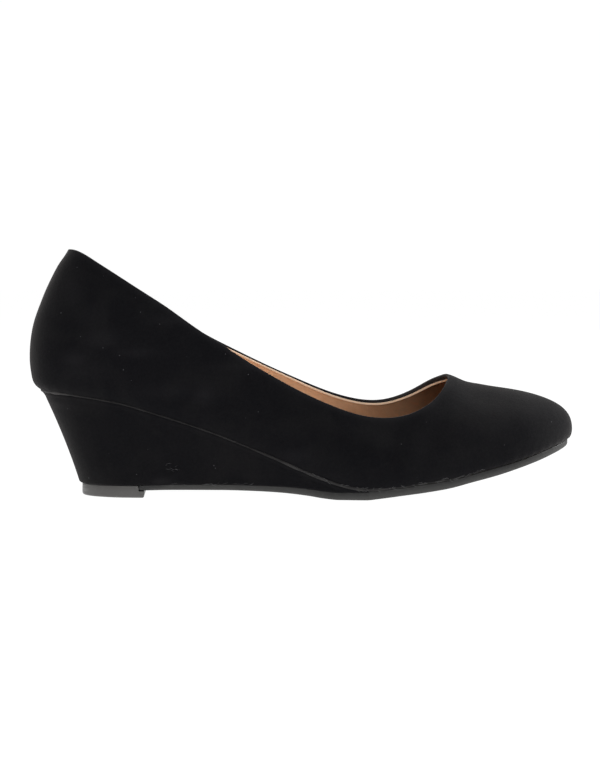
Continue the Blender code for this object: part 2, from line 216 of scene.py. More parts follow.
def upper_surface(count, low_rows, high_rows):
    """Outer face of the upper as rows of rings, from the feather line up to the topline."""
    lines = wall_lines(count)
    swell, swell_up, lean = lines[:, 2:3], lines[:, 3:4], np.radians(lines[:, 7:8])
    low_pull, top_pull, lip = lines[:, 8:9], lines[:, 9:10], lines[:, 10]
    up = np.array([0.0, 0.0, 1.0])
    foot = np.column_stack([lines[:, :2], profile(SEAT, lines[:, 0])])
    widest = foot + np.column_stack([outward(foot[:, :2]) * swell, swell_up])
    top = lines[:, 4:7]
    heading = np.column_stack([-outward(top[:, :2]) * np.cos(lean), np.sin(lean)])
    turn = widest - up * (1 - TUCK) * swell_up
    rows = [(1 - w) ** 2 * foot + 2 * w * (1 - w) * turn + w ** 2 * widest
            for w in np.linspace(0, 1, low_rows + 1)]
    reach = np.linalg.norm(top - widest, axis=1)[:, None]
    lower = widest + up * low_pull * (top[:, 2:3] - widest[:, 2:3])
    higher = top - heading * top_pull * reach
    rows += [(1 - w) ** 3 * widest + 3 * w * (1 - w) ** 2 * lower
             + 3 * w ** 2 * (1 - w) * higher + w ** 3 * top
             for w in np.linspace(0, 1, high_rows + 1)[1:]]
    surface = np.array(rows)
    near = np.clip(1 - np.linalg.norm(surface - surface[-1], axis=2) / LIP_REACH, 0, 1)
    surface[low_rows + 1:, :, 2] += (lip * near ** 2 * (3 - 2 * near))[low_rows + 1:]
    return surface


def footprint_middle():
    """Middle of the shoe's footprint, which is the frame's origin in plan."""
    surface = upper_surface(*MIDDLE_GRID).reshape(-1, 3)
    middle = (surface.min(axis=0) + surface.max(axis=0)) / 2
    return np.array([middle[0], middle[1], 0.0])


MIDDLE = footprint_middle()


def place(points):
    """Points of the shoe's plan in metres about the origin."""
    return (np.asarray(points, float) - MIDDLE) * MM


def foot_ring(inset):
    """Plan outline of the feather line, moved inwards by inset."""
    ring = wall_lines(RING_SAMPLES)[:, :2]
    return ring - outward(ring) * inset


def sole_top(x):
    """Top of the tip and outsole: flat on the tip, then the sole's thickness, then up to the upper."""
    x = np.asarray(x, float)
    waist = profile(UNDERSIDE, x) + profile(SHANK_THICKNESS, x)
    under_wedge = np.where(x < SOLE_START, TIP_HEIGHT, waist)
    return np.where(x <= WEDGE_END + GAP, under_wedge, profile(SEAT, x) - GAP)


def base_point(x, y, depth):
    """Point of the wedge's side below the feather point (x, y), depth 0 at the seat and 1 at the base."""
    fade = 1 - np.clip((x - SECTIONS[0].foot_x) / WEDGE_SHIFT_REACH, 0, 1) ** 2
    shift = WEDGE_BACK_SHIFT * fade ** 2 * depth * (1 + WEDGE_BOW * (1 - depth))
    height = (profile(SEAT, x) - sole_top(x)) / WEDGE_HEIGHT
    return x + shift, y * (1 - WEDGE_NARROWING * np.clip(height, 0, 1) * depth)


def base_ring(inset):
    """Plan outline of the wedge's base and the outsole, moved inwards by inset."""
    ring = foot_ring(0.0)
    x, y = base_point(ring[:, 0], ring[:, 1], 1.0)
    ring = np.column_stack([x, y])
    return ring - outward(ring) * inset


def side_values(ring, values, x):
    """Values that go with a plan outline, read at x on its lateral and on its medial side."""
    back, toe = np.argmin(ring[:, 0]), np.argmax(ring[:, 0])
    turned = np.column_stack([ring[:, 0], values])
    turned = np.roll(turned, -back, axis=0)
    toe = (toe - back) % len(ring)
    both = []
    for part in (turned[:toe + 1], np.vstack([turned[toe:], turned[:1]])[::-1]):
        both.append(np.stack([np.interp(x, part[:, 0], column) for column in part[:, 1:].T], axis=-1))
    return both


def sides(ring, x):
    """Lateral and medial edge of a plan outline at x."""
    lateral, medial = side_values(ring, ring[:, 1], x)
    return lateral[:, 0], medial[:, 0]


def smooth(t):
    """Soft step from 0 to 1."""
    t = np.clip(t, 0, 1)
    return t * t * (3 - 2 * t)


def hump(value, middle, half_width):
    """Bell of height 1 round middle."""
    return np.exp(-((value - middle) / half_width) ** 2)


def rounding(distance, radius):
    """How far a rounded edge leads in, at a distance from it."""
    return radius * (1 - np.sqrt(1 - np.clip((radius - distance) / radius, 0, 1) ** 2))


def distances_along(line):
    """Distance of each point of a line from its first point, along the line."""
    return np.concatenate([[0.0], np.cumsum(np.linalg.norm(np.diff(line, axis=0), axis=1))])


def normals(surface):
    """Unit normals of rows of rings, pointing outwards."""
    round_it = np.roll(surface, -1, 1) - np.roll(surface, 1, 1)
    up_it = np.gradient(surface, axis=0)
    normal = np.cross(round_it, up_it)
    normal /= np.linalg.norm(normal, axis=2)[:, :, None]
    middle = surface.mean(axis=(0, 1))
    facing = np.sum(normal * (surface - middle) * (1, 1, 0))
    return normal * np.sign(facing)


# Soft troughs and ridges of the upper, seen from the side: from (x, z) to (x, z), their half
# width and how far they stand in (below zero) or out
Crease = namedtuple("Crease", "side x0 z0 x1 z1 width lift")
CREASES = [Crease(*row) for row in (
    ("lateral", 150, 8, 161, 27, 4.2, -0.30),
    ("lateral", 162, 9, 172, 30, 4.0, 0.22),
    ("lateral", 172, 12, 181, 34, 4.4, -0.24),
    ("lateral", 136, 10, 148, 20, 3.4, 0.22),
    ("lateral", 118, 19, 133, 26, 3.2, -0.20),
    ("lateral", 100, 27, 116, 38, 5.0, 0.22),
    ("lateral", 70, 40, 92, 46, 5.5, -0.26),
    ("lateral", 52, 52, 66, 72, 6.0, 0.20),
    ("lateral", 34, 58, 50, 84, 6.0, -0.24),
    ("lateral", 205, 20, 214, 36, 6.0, -0.22),
    ("medial", 148, 9, 160, 29, 4.4, -0.32),
    ("medial", 160, 10, 172, 33, 4.2, 0.24),
    ("medial", 173, 13, 183, 36, 4.4, -0.26),
    ("medial", 108, 24, 126, 34, 5.0, -0.26),
    ("medial", 84, 34, 104, 44, 5.0, 0.22),
    ("medial", 40, 56, 58, 80, 6.0, -0.22),
    ("medial", 204, 20, 214, 38, 6.0, -0.20),
)]

# Corrections near the topline: axis, x, half width along x, reach down the wall, move, side or 0
Nudge = namedtuple("Nudge", "axis x wide deep move side")
NUDGES = [Nudge(*row) for row in (
    (2, 22.5, 6.0, 6.0, 0.50, 0),
    (2, 14.5, 3.0, 5.0, -0.80, 0),
    (2, 61.0, 8.0, 6.0, 0.42, -1),
    (2, 86.5, 4.5, 6.0, 0.32, -1),
    (0, 184.0, 6.0, 6.0, -0.60, -1),
    (2, 77.0, 9.0, 6.0, -0.55, 1),
)]


def along_crease(crease, points):
    """How strongly a crease acts at points, from 0 to 1."""
    start = np.array([crease.x0, crease.z0], float)
    run = np.array([crease.x1, crease.z1], float) - start
    length = np.linalg.norm(run)
    offset = points[..., [0, 2]] - start
    t = (offset @ run) / length ** 2
    across = (offset[..., 0] * run[1] - offset[..., 1] * run[0]) / length
    side = -1 if crease.side == "lateral" else 1
    on_side = smooth(side * points[..., 1] / SIDE_FADE)
    ends = smooth((t + 0.25) / 0.5) * smooth((1.25 - t) / 0.5)
    return hump(across, 0.0, crease.width) * ends * on_side


def relief(points, above, below, round_it):
    """How far the suede stands out, by distances above the feather line, below the topline and round."""
    x, y, z = points[..., 0], points[..., 1], points[..., 2]
    lift = np.zeros(x.shape)
    for crease in CREASES:
        lift += crease.lift * along_crease(crease, points)
    # Puckers above the feather line: fine ones at heel and toe, wider ones at the ball
    low = hump(above, 0.0, 3.6)
    ends = smooth((x - 196) / 22) + smooth((30 - x) / 18)
    ball = smooth((x - 118) / 20) * smooth((176 - x) / 20)
    lift += 0.13 * low * ends * np.sin(2 * np.pi * round_it / 5.2 + 1.3 * np.sin(round_it / 13.0))
    lift += 0.10 * low * ball * np.sin(2 * np.pi * round_it / 7.4)
    # Slightly wavy topline, and a faint unevenness all over
    rim = hump(below, 0.0, 7.0)
    lift += 0.12 * rim * (np.sin(round_it / 7.9 + 0.7) + 0.6 * np.sin(round_it / 4.3 + 2.0))
    lift += 0.10 * np.sin(x / 8.3 + 0.5) * np.sin(z / 6.9 + 1.1)
    # Hollow of the vamp, and the trough in front of the throat's lip
    lift -= 0.55 * hump(x, 205, 11) * smooth((z - 36) / 8)
    lift -= 0.22 * hump(x, 196.5, 3.4) * smooth((z - 40) / 6)
    # Fuller lower corner of the heel, and its back curve
    lift += 0.55 * smooth((16 - x) / 10) * hump(above, 5.0, 3.2)
    lift += 0.36 * smooth((32 - x) / 14) * (hump(z, 101.5, 5.0) - hump(z, 85.0, 7.0))
    # Back seam: a groove between two low ridges
    seam = 0.14 * hump(np.abs(y), 1.7, 0.9) - 0.26 * hump(y, 0.0, 0.45)
    lift += smooth((40 - x) / 14) * seam * (0.35 + 0.65 * smooth(below / 5.0))
    return lift


def read_lines(surface, along, wanted):
    """Each wall line of a dense surface, read at the wanted distances along it."""
    rows = np.empty((wanted.shape[0],) + surface.shape[1:])
    for n in range(surface.shape[1]):
        for axis in range(3):
            rows[:, n, axis] = np.interp(wanted[:, n], along[:, n], surface[:, n, axis])
    return rows


class Last:
    """The upper's outer face with its relief, with normals and distances along every wall line."""

    def __init__(self, count):
        surface = upper_surface(count, *DENSE_ROWS)
        above = self.distances(surface)
        below = above[-1] - above
        round_it = distances_along(surface[0])[None, :]
        surface = surface + normals(surface) * relief(surface, above, below, round_it)[..., None]
        for nudge in NUDGES:
            near = hump(surface[..., 0], nudge.x, nudge.wide) * hump(below, 0.0, nudge.deep)
            if nudge.side:
                near = near * smooth(nudge.side * surface[..., 1] / SIDE_FADE)
            surface[..., nudge.axis] += nudge.move * near
        self.surface = surface
        self.along = self.distances(surface)
        self.length = self.along[-1]
        self.normals = normals(surface)
        self.lines = wall_lines(count)

    @staticmethod
    def distances(surface):
        """Distance of each row from the feather line, along its wall line."""
        steps = np.linalg.norm(np.diff(surface, axis=0), axis=2)
        return np.vstack([np.zeros(surface.shape[1]), np.cumsum(steps, axis=0)])

    def at(self, along, inside):
        """Points at distances along the lines, moved inside the outer face."""
        outer = read_lines(self.surface, self.along, along)
        normal = read_lines(self.normals, self.along, along)
        normal /= np.linalg.norm(normal, axis=2)[:, :, None]
        return outer - normal * np.broadcast_to(inside, along.shape)[:, :, None]


def margin_of(last):
    """Width of the black margin inside the folded edge, by where the line meets the topline."""
    return profile(MARGIN, last.lines[:, 4])


def ring_faces(rows, count, closed):
    """Quads between rows of closed rings, which may close on the first row again."""
    row = np.arange(rows if closed else rows - 1)[:, None]
    place_in = np.arange(count)[None, :]
    next_row = (row + 1) % rows
    next_place = (place_in + 1) % count
    quads = np.stack([row * count + place_in, row * count + next_place,
                      next_row * count + next_place, next_row * count + place_in], axis=-1)
    return quads.reshape(-1, 4).tolist()


def add_piece(name, points, faces, material, replaced=(), attributes=None, sharp=60):
    """One closed piece of the shoe from points in its plan, riding on the root body."""
    mesh = bpy.data.meshes.new(name)
    mesh.from_pydata(place(points).reshape(-1, 3).tolist(), [], faces)
    for label, values in (attributes or {}).items():
        layer = mesh.attributes.new(label, "FLOAT", "POINT")
        layer.data.foreach_set("value", np.ascontiguousarray(values, dtype=np.float32).ravel())
    body = bmesh.new()
    body.from_mesh(mesh)
    bmesh.ops.remove_doubles(body, verts=body.verts, dist=1e-7)
    bmesh.ops.recalc_face_normals(body, faces=body.faces)
    body.to_mesh(mesh)
    body.free()
    mesh.shade_smooth()
    mesh.set_sharp_from_angle(angle=np.radians(sharp))
    mesh.materials.append(material)
    piece = bpy.data.objects.new(name, mesh)
    bpy.context.scene.collection.objects.link(piece)
    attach(piece, "root")
    if replaced:
        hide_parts(*replaced)
    return piece


# Materials

def link(tree, source, target):
    """Joins an output socket to an input socket."""
    tree.links.new(source, target)


def node(tree, kind, **values):
    """A new node. Values named in_ are set on its inputs, the others on the node itself."""
    made = tree.nodes.new(kind)
    for key, value in values.items():
        if key.startswith("in_"):
            made.inputs[key[3:].replace("_", " ")].default_value = value
        else:
            setattr(made, key, value)
    return made


def new_material(name, roughness, **constants):
    """A material with its shader, object coordinates and constants set on the shader."""
    material = bpy.data.materials.new(name)
    material.use_nodes = True
    tree = material.node_tree
    shader = tree.nodes["Principled BSDF"]
    shader.inputs["Roughness"].default_value = roughness
    for key, value in constants.items():
        shader.inputs[key.replace("_", " ")].default_value = value
    coordinates = node(tree, "ShaderNodeTexCoord").outputs["Object"]
    return material, tree, shader, coordinates


def noise(tree, coordinates, scale, detail=3.0, rough=0.55, stretch=None, distortion=0.0):
    """Factor of a noise texture, scale in cells per metre."""
    if stretch is not None:
        mapping = node(tree, "ShaderNodeMapping")
        mapping.inputs["Scale"].default_value = stretch
        link(tree, coordinates, mapping.inputs["Vector"])
        coordinates = mapping.outputs["Vector"]
    texture = node(tree, "ShaderNodeTexNoise", in_Scale=scale, in_Detail=detail, in_Roughness=rough,
                   in_Distortion=distortion)
    link(tree, coordinates, texture.inputs["Vector"])
    return texture.outputs["Fac"]


def ranged(tree, value, low, high, to_low=0.0, to_high=1.0):
    """Value between low and high, remapped by a soft step."""
    made = node(tree, "ShaderNodeMapRange", interpolation_type="SMOOTHSTEP", in_From_Min=low,
                in_From_Max=high, in_To_Min=to_low, in_To_Max=to_high)
    link(tree, value, made.inputs["Value"])
    return made.outputs["Result"]


def combined(tree, operation, first, second):
    """First and second joined by a math operation. Either may be a number."""
    made = node(tree, "ShaderNodeMath", operation=operation)
    for socket, value in zip(made.inputs, (first, second)):
        if isinstance(value, (int, float)):
            socket.default_value = value
        else:
            link(tree, value, socket)
    return made.outputs[0]


def product(tree, first, second):
    """First times second."""
    return combined(tree, "MULTIPLY", first, second)


def weighted(tree, first, second, share):
    """Sum of two values, share of it from the first."""
    return combined(tree, "ADD", product(tree, first, share), product(tree, second, 1 - share))


def mixed(tree, factor, first, second):
    """Colour from first to second by factor. Either may be a colour or a socket."""
    made = node(tree, "ShaderNodeMix", data_type="RGBA")
    link(tree, factor, made.inputs["Factor"])
    colours = [socket for socket in made.inputs if socket.type == "RGBA"]
    for socket, value in zip(colours, (first, second)):
        if isinstance(value, tuple):
            socket.default_value = (*value, 1.0)
        else:
            link(tree, value, socket)
    return [socket for socket in made.outputs if socket.type == "RGBA"][0]


def bump(tree, height, distance, strength=1.0, before=None):
    """Normal of a bump of that height in metres."""
    made = node(tree, "ShaderNodeBump", in_Strength=strength, in_Distance=distance)
    link(tree, height, made.inputs["Height"])
    if before is not None:
        link(tree, before, made.inputs["Normal"])
    return made.outputs["Normal"]


def attribute(tree, name):
    """Factor of a mesh attribute."""
    return node(tree, "ShaderNodeAttribute", attribute_name=name).outputs["Fac"]


RUBBED_AND_PAINTED_LIGHT_TINT = (3.264, 3.2, 3.104)       # rubbed nap, and painted highlights, against raised nap
RIM_PAINTED_LIGHT = (0.046, 0.045, 0.047)        # painted light inside the folded edge at the throat, which lies in shade
LINT_TONE = (0.075, 0.075, 0.08)
THROAT_SHADE = (0.165, 0.125, 0.10)     # painted shade towards the toe, as a share of the lining's deep colour


def suede(name, deep, raised, sheen):
    """Black napped cloth: brushed patches, fine nap, lint, lighter rubbed places that also carry painted
    highlights, and painted light inside the folded edge.
    """
    material, tree, shader, at = new_material(
        name, 0.95, Sheen_Weight=sheen, Sheen_Roughness=0.42, Sheen_Tint=(0.86, 0.82, 0.80, 1.0),
        Specular_IOR_Level=0.12)
    patches = ranged(tree, noise(tree, at, 46, 4.0, 0.55, distortion=0.7), 0.40, 0.66)
    brushed = noise(tree, at, 130, 3.0, 0.6, stretch=(1.0, 1.0, 0.4))
    colour = mixed(tree, weighted(tree, patches, brushed, 0.6), deep, raised)
    rubbed_and_painted_light = tuple(c * w for c, w in zip(raised, RUBBED_AND_PAINTED_LIGHT_TINT))
    # rubbed nap, and painted highlights on the topline, the folded edge and the seam
    colour = mixed(tree, attribute(tree, "rubbed_and_painted_light"), colour, rubbed_and_painted_light)
    # painted light on the inside of the folded edge, which lies in shade
    colour = mixed(tree, attribute(tree, "rim"), colour, RIM_PAINTED_LIGHT)
    specks = node(tree, "ShaderNodeTexVoronoi", in_Scale=210.0, in_Randomness=1.0)
    link(tree, at, specks.inputs["Vector"])
    lint = ranged(tree, specks.outputs["Distance"], 0.055, 0.035)
    lint = product(tree, lint, ranged(tree, noise(tree, at, 90, 1.0), 0.47, 0.58))
    colour = mixed(tree, lint, colour, LINT_TONE)
    link(tree, colour, shader.inputs["Base Color"])
    nap = noise(tree, at, 900, 4.0, 0.65)
    grain = noise(tree, at, 3400, 2.0, 0.6)
    link(tree, ranged(tree, nap, 0.3, 0.7, 0.86, 1.0), shader.inputs["Roughness"])
    coarse = bump(tree, brushed, 0.00025, 0.5)
    fine = bump(tree, weighted(tree, nap, grain, 0.6), 0.00016, 0.8, coarse)
    link(tree, fine, shader.inputs["Normal"])
    return material


def leather(name, base, deep, edge):
    """Smooth tan lining: faint grain, soft mottling, painted shade towards the toe, and a paler cut edge with
    a painted highlight.
    """
    material, tree, shader, at = new_material(name, 0.5, Specular_IOR_Level=0.35, Coat_Weight=0.08,
                                              Coat_Roughness=0.4)
    mottle = ranged(tree, noise(tree, at, 70, 4.0, 0.6, distortion=0.4), 0.34, 0.68)
    colour = mixed(tree, mottle, deep, base)
    throat = tuple(c * w for c, w in zip(deep, THROAT_SHADE))
    # painted shade, deepening towards the toe
    colour = mixed(tree, attribute(tree, "throat"), colour, throat)
    # paler cut edge, made lighter still as a painted highlight
    colour = mixed(tree, attribute(tree, "cut_edge_and_painted_highlight"), colour, edge)
    link(tree, colour, shader.inputs["Base Color"])
    pores = node(tree, "ShaderNodeTexVoronoi", in_Scale=1500.0)
    link(tree, at, pores.inputs["Vector"])
    wrinkle = noise(tree, at, 240, 4.0, 0.62, stretch=(1.0, 1.0, 2.2), distortion=0.5)
    link(tree, ranged(tree, wrinkle, 0.3, 0.7, 0.42, 0.6), shader.inputs["Roughness"])
    soft = bump(tree, wrinkle, 0.0004, 0.6)
    link(tree, bump(tree, pores.outputs["Distance"], 0.00005, 0.5, soft), shader.inputs["Normal"])
    return material


def rubber(name, base, scuffed, roughness, painted_shade_colour):
    """Dark grey moulded edge: faint streaks from trimming, small scuffs, and places darkened as painted
    shade.
    """
    material, tree, shader, at = new_material(name, roughness, Specular_IOR_Level=0.5)
    streaks = noise(tree, at, 160, 4.0, 0.6, stretch=(1.0, 1.0, 5.0))
    scuffs = ranged(tree, noise(tree, at, 420, 5.0, 0.7), 0.54, 0.72)
    colour = mixed(tree, product(tree, ranged(tree, streaks, 0.35, 0.7), scuffs), base, scuffed)
    ragged = ranged(tree, noise(tree, at, 700, 3.0), 0.3, 0.7, 0.7, 1.0)
    # painted shade, broken up by noise
    colour = mixed(tree, product(tree, attribute(tree, "painted_shade"), ragged), colour, painted_shade_colour)
    link(tree, colour, shader.inputs["Base Color"])
    rough = ranged(tree, streaks, 0.3, 0.7, roughness - 0.08, roughness + 0.14)
    link(tree, rough, shader.inputs["Roughness"])
    fine = noise(tree, at, 1800, 3.0, 0.6)
    link(tree, bump(tree, fine, 0.00006, 0.5, bump(tree, streaks, 0.00012, 0.4)), shader.inputs["Normal"])
    return material


SUEDE = suede("suede_black", (0.0029, 0.0028, 0.0041), (0.0061, 0.0059, 0.0068), 0.12)
WEDGE_SUEDE = suede("suede_wedge", (0.0037, 0.0036, 0.0048), (0.0074, 0.0070, 0.0078), 0.12)
WELT = suede("suede_welt", (0.008, 0.008, 0.0085), (0.024, 0.0235, 0.024), 0.20)
FIBRE = suede("loose_fibre", (0.06, 0.06, 0.064), (0.15, 0.149, 0.152), 0.30)
LINING = leather("lining_tan", (0.82, 0.535, 0.335), (0.69, 0.42, 0.25), (1.0, 0.76, 0.555))
SOLE = rubber("sole_rubber", (0.034, 0.0335, 0.032), (0.070, 0.069, 0.066), 0.52, (0.0065, 0.0064, 0.0066))
TIP = rubber("tip_plastic", (0.095, 0.092, 0.089), (0.14, 0.137, 0.132), 0.40, (0.095, 0.092, 0.089))


# Rubbed nap, charted: x, z, half width along x and z, strength. The three marks on the toe top paint its
# highlight.
Mark = namedtuple("Mark", "x z wide high strength")
RUBBED_AND_PAINTED_TOE_HIGHLIGHT = [Mark(*row) for row in (
    (21.0, 61.0, 5.0, 3.6, 0.30), (33.0, 70.0, 7.0, 4.5, 0.22), (28.5, 80.0, 7.0, 6.0, 0.16),
    (48.0, 64.0, 10.0, 2.2, 0.20), (62.0, 47.0, 14.0, 3.0, 0.14), (77.5, 45.5, 5.0, 4.0, 0.26),
    (24.0, 56.0, 12.0, 4.0, 0.14), (222.0, 43.0, 9.0, 2.6, 0.26), (224.0, 38.0, 10.0, 4.0, 0.24),
    (196.0, 30.0, 12.0, 4.0, 0.10), (20.0, 90.0, 5.0, 8.0, 0.20), (64.0, 78.0, 10.0, 2.4, 0.20),
    (98.0, 58.0, 14.0, 2.0, 0.16), (118.0, 19.0, 6.0, 3.0, 0.22), (233.0, 37.0, 6.0, 4.0, 0.20),
)]
WEDGE_RUBBED = [Mark(*row) for row in (
    (59.0, 7.4, 5.0, 1.4, 0.34), (66.0, 6.0, 4.0, 1.2, 0.26), (12.0, 40.0, 8.0, 2.0, 0.30),
    (13.0, 24.0, 5.0, 12.0, 0.16),
)]


def charted(marks, points):
    """Strength of charted marks at points."""
    total = np.zeros(points.shape[:-1])
    for mark in marks:
        near = ((points[..., 0] - mark.x) / mark.wide) ** 2 + ((points[..., 2] - mark.z) / mark.high) ** 2
        total = np.maximum(total, mark.strength * np.exp(-near))
    return total


# Upper

def make_cover(last):
    """Suede cover of the upper with its folded edge, closed under the lining."""
    top = last.length - EDGE_HALF
    steps = np.linspace(0, 1, OUTER_ROWS)
    outer = last.at(steps[:, None] * top[None, :], 0.0)
    edge_normal = (last.at(top[None, :], 0.0) - last.at(top[None, :], 1.0))[0]
    edge_up = last.surface[-1] - last.at(top[None, :] - 1.0, 0.0)[0]
    edge_up -= edge_normal * np.sum(edge_up * edge_normal, axis=1)[:, None]
    edge_up /= np.linalg.norm(edge_up, axis=1)[:, None]
    centre = outer[-1] - edge_normal * EDGE_HALF
    turns = np.linspace(0, np.pi, EDGE_STEPS + 1)[1:]
    fold = np.array([centre + (edge_normal * np.cos(a) + edge_up * np.sin(a)) * EDGE_HALF for a in turns])
    down = margin_of(last)[None, :] + SPARE * np.array([-0.72, -0.4, 0.0, 0.6, 1.0])[:, None]
    down = np.maximum(down, 0.3)
    folded = last.at(top[None, :] - down, 2 * EDGE_HALF)
    folded[-1] = last.at(top[None, :] - down[-1:], COVER)[0]
    left = top - down[-1] - COVER_LOW
    under = np.linspace(1, 0, 22)
    hidden = last.at(COVER_LOW + under[:, None] * (left - COVER_LOW)[None, :], COVER)
    points = np.concatenate([outer, fold, folded, hidden])
    rubbed_and_painted_light = charted(RUBBED_AND_PAINTED_TOE_HIGHLIGHT, points)
    below = (1 - steps)[:, None] * top[None, :]
    # painted highlight: a lighter band along the topline, where the edge catches the light
    rubbed_and_painted_light[:OUTER_ROWS] += 0.30 * hump(below, 0.0, 1.6)
    # painted light: the rounded folded edge made lighter where it lies in shade
    rubbed_and_painted_light[OUTER_ROWS:OUTER_ROWS + EDGE_STEPS] += 0.5
    # painted light inside the folded edge, growing towards the throat
    rim = np.zeros(points.shape[:2])
    rim[OUTER_ROWS + 1:OUTER_ROWS + EDGE_STEPS + len(folded)] = 1.0
    rim *= smooth((points[..., 0] - 140) / 30)
    faces = ring_faces(len(points), AROUND, True)
    return add_piece("upper_suede", points, faces, SUEDE, ("upper",),
                     {"rubbed_and_painted_light": np.clip(rubbed_and_painted_light, 0, 1), "rim": rim})


def make_lining(last):
    """Tan lining: a sheet inside the cover, with a rounded cut edge below the black margin."""
    top = last.length - EDGE_HALF - margin_of(last)
    inner, outer = WALL, 2 * EDGE_HALF + SHEET_GAP
    half = (inner - outer) / 2
    turns = np.linspace(0, np.pi, 7)
    edge_along = top[None, :] + (np.sin(turns) * LINING_EDGE)[:, None]
    edge_in = (inner + outer) / 2 + half * np.cos(turns)[:, None]
    steps = np.linspace(0, 1, LINING_ROWS)
    face_along = LINING_LOW + steps[:, None] * (top - LINING_LOW - 1.6)[None, :]
    face_along = np.vstack([face_along, top - np.array([1.25, 0.95, 0.7, 0.45, 0.2])[:, None]])
    from_top = top - face_along
    flat = last.at(face_along, inner)
    x, z = flat[..., 0], flat[..., 2]
    # Faint wrinkles, stronger near the ball, and a bead along the cut edge
    crinkle = 0.05 * np.sin(x / 2.3 + 2.2 * np.sin(z / 5.1)) + 0.07 * np.sin(x / 5.7 - z / 3.1)
    crinkle += 0.11 * hump(x, 152, 14) * np.sin(x / 1.15 + z / 2.6)
    bead = 0.26 * hump(from_top, 0.3, 0.4)
    face = last.at(face_along, inner + crinkle * smooth(from_top / 3) + bead)
    edge = last.at(edge_along, edge_in)
    back_steps = np.linspace(1, 0, 16)
    back_along = LINING_LOW + back_steps[:, None] * (top - LINING_LOW - 0.3)[None, :]
    from_edge = np.clip((top[None, :] - back_along) / (SPARE + 1.4), 0, 1)
    past_hem = smooth((from_edge - 0.85) / 0.15)
    back = last.at(back_along, outer + (COVER + SHEET_GAP - outer) * past_hem)
    points = np.concatenate([face, edge, back])
    # paler cut edge of the lining with a painted highlight on it; along the face the highlight fades out
    # towards the heel
    cut_edge_and_painted_highlight = np.zeros(points.shape[:2])
    cut_edge_and_painted_highlight[len(face):len(face) + len(edge)] = 1.0
    cut_edge_and_painted_highlight[:len(face)] = smooth((0.6 - from_top) / 0.4) * smooth((x - 104) / 22)
    # painted shade on the lining, deepening towards the toe where the vamp covers it
    throat = 0.95 * np.clip((points[..., 0] - 127) / 52, 0, 1)
    faces = ring_faces(len(points), AROUND, True)
    return add_piece("upper_lining", points, faces, LINING, ("upper",),
                     {"cut_edge_and_painted_highlight": cut_edge_and_painted_highlight, "throat": throat})


# Bodies between a lateral and a medial wall

def walled_body(lateral, medial, across, low_relief=None, high_relief=None,
                closed_start=False, closed_end=False):
    """Points and faces of a body between two walls, arrays of [level, station, 3], low level first.

    The walls meet in one line at an end that isn't closed.
    """
    levels, stations = lateral.shape[:2]
    share = np.linspace(0, 1, across + 1)[1:-1]
    over = np.array([lateral[-1] + (medial[-1] - lateral[-1]) * s for s in share])
    under = np.array([medial[0] + (lateral[0] - medial[0]) * s for s in share])
    if high_relief is not None:
        over[..., 2] += high_relief(over, share[:, None])
    if low_relief is not None:
        under[..., 2] += low_relief(under, 1 - share[:, None])
    rings = np.concatenate([lateral, over, medial[::-1], under]).transpose(1, 0, 2)
    count = rings.shape[1]
    faces = ring_faces(stations, count, False)
    points = [rings.reshape(-1, 3)]
    made = stations * count
    for station, closed in ((0, closed_start), (stations - 1, closed_end)):
        if not closed:
            continue
        base = station * count
        grid = np.zeros((levels, across + 1), int)
        grid[:, 0] = base + np.arange(levels)
        grid[:, -1] = base + levels + across - 1 + np.arange(levels)[::-1]
        grid[-1, 1:-1] = base + levels + np.arange(across - 1)
        grid[0, 1:-1] = base + 2 * levels + across - 1 + np.arange(across - 1)[::-1]
        for level in range(1, levels - 1):
            start, end = lateral[level, station], medial[level, station]
            points.append(start + (end - start) * share[:, None])
            grid[level, 1:-1] = made + np.arange(across - 1)
            made += across - 1
        for level in range(levels - 1):
            for place_in in range(across):
                faces.append([int(grid[level, place_in]), int(grid[level, place_in + 1]),
                              int(grid[level + 1, place_in + 1]), int(grid[level + 1, place_in])])
    return np.concatenate(points), faces


def side_walls(outline, levels, spread, start=None, end=None):
    """Lateral and medial wall of a body, from its levels: inset of the plan outline and height at x."""
    lateral, medial = [], []
    for inset, height in levels:
        ring = outline(inset)
        first = ring[:, 0].min() if start is None else start + inset
        last_x = ring[:, 0].max() if end is None else end - inset
        x = first + (last_x - first) * spread
        for wall, y in zip((lateral, medial), sides(ring, x)):
            wall.append(np.column_stack([x, y, height(x)]))
    return np.array(lateral), np.array(medial)


def rounded(radius, steps):
    """Insets and heights of a quarter round that turns from a side into a face."""
    turns = np.linspace(0, np.pi / 2, steps + 1)
    return [(radius * (1 - np.cos(a)), radius * np.sin(a)) for a in turns]


def make_sock(last):
    """Insole with its sock: a thin tan pad, crowned, soft at the edges, with a heel cushion."""
    high = last.at(np.full((1, AROUND), INSOLE_THICKNESS), WALL + SOCK_GAP)[0, :, :2]
    levels = [(SOCK_TUCK, lambda x: profile(SEAT, x) + 0.1),
              (0.5 * SOCK_TUCK, lambda x: profile(SEAT, x) + 0.9)]
    for inset, up in rounded(SOCK_ROUND, 5):
        levels.append((inset, lambda x, up=up: profile(SEAT, x) + INSOLE_THICKNESS - SOCK_ROUND + up))
    spread = (1 - np.cos(np.linspace(0, np.pi, 150))) / 2
    lateral, medial = side_walls(lambda inset: high - outward(high) * inset, levels, spread)

    def crown(points, share):
        lift = 0.55 * np.sin(np.pi * share) ** 0.8 * smooth((points[..., 0] - 6) / 20)
        heel = smooth((62 - points[..., 0]) / 22) * smooth((points[..., 0] - 10) / 16)
        return lift * smooth((236 - points[..., 0]) / 20) + 0.5 * heel * np.sin(np.pi * share)

    points, faces = walled_body(lateral, medial, 28, high_relief=crown)
    # painted shade on the sock towards the toe
    piece = add_piece("insole_sock", points, faces, LINING, ("insole",),
                      {"cut_edge_and_painted_highlight": np.zeros(len(points)), "throat": 0.12 * smooth((points[:, 0] - 120) / 80)})
    return piece


